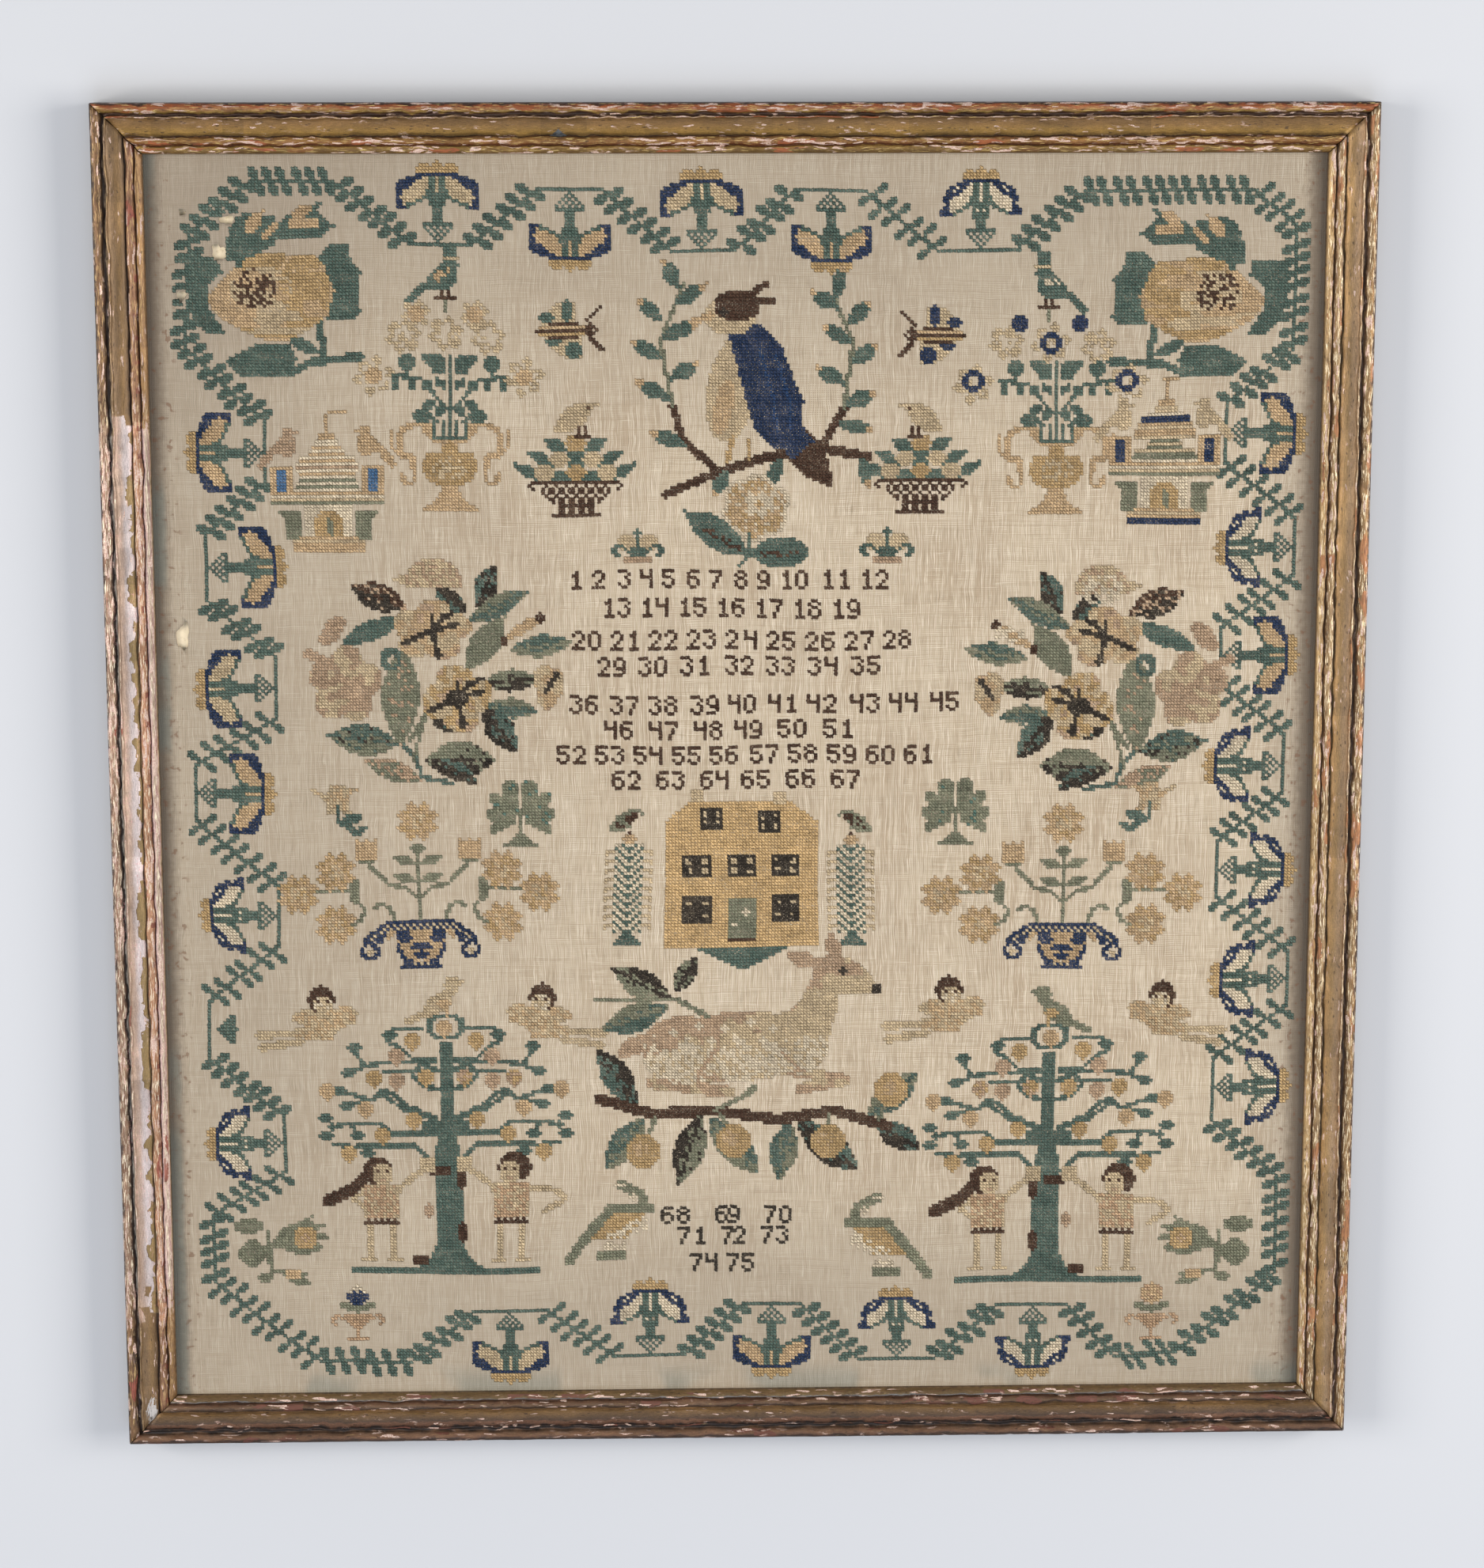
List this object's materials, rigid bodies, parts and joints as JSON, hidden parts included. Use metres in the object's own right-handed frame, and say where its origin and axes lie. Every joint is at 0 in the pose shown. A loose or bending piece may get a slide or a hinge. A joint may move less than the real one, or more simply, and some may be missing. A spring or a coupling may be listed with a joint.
{
  "type": "framed cross stitch sampler",
  "caption": "Cross stitch sampler on linen with a flowering border, held flat in a narrow mitred and moulded gilt wood frame with a backing board.",
  "frame": {"origin": "middle of the frame's back, on the surface that it lies on", "axes": "+X to the picture's right, +Y to the picture's top, +Z out of the picture's face"},
  "size_m": [0.447, 0.484, 0.0156],
  "materials": {
    "gilding": "worn gold over gesso",
    "linen": "plain weave worked with silk cross stitch",
    "card": "plain cream"
  },
  "bodies": {
    "root": {"rail_top": "gilding", "rail_bottom": "gilding", "rail_left": "gilding", "rail_right": "gilding", "sampler_cloth": "linen", "backing_board": "card"}
  },
  "joints": []
}
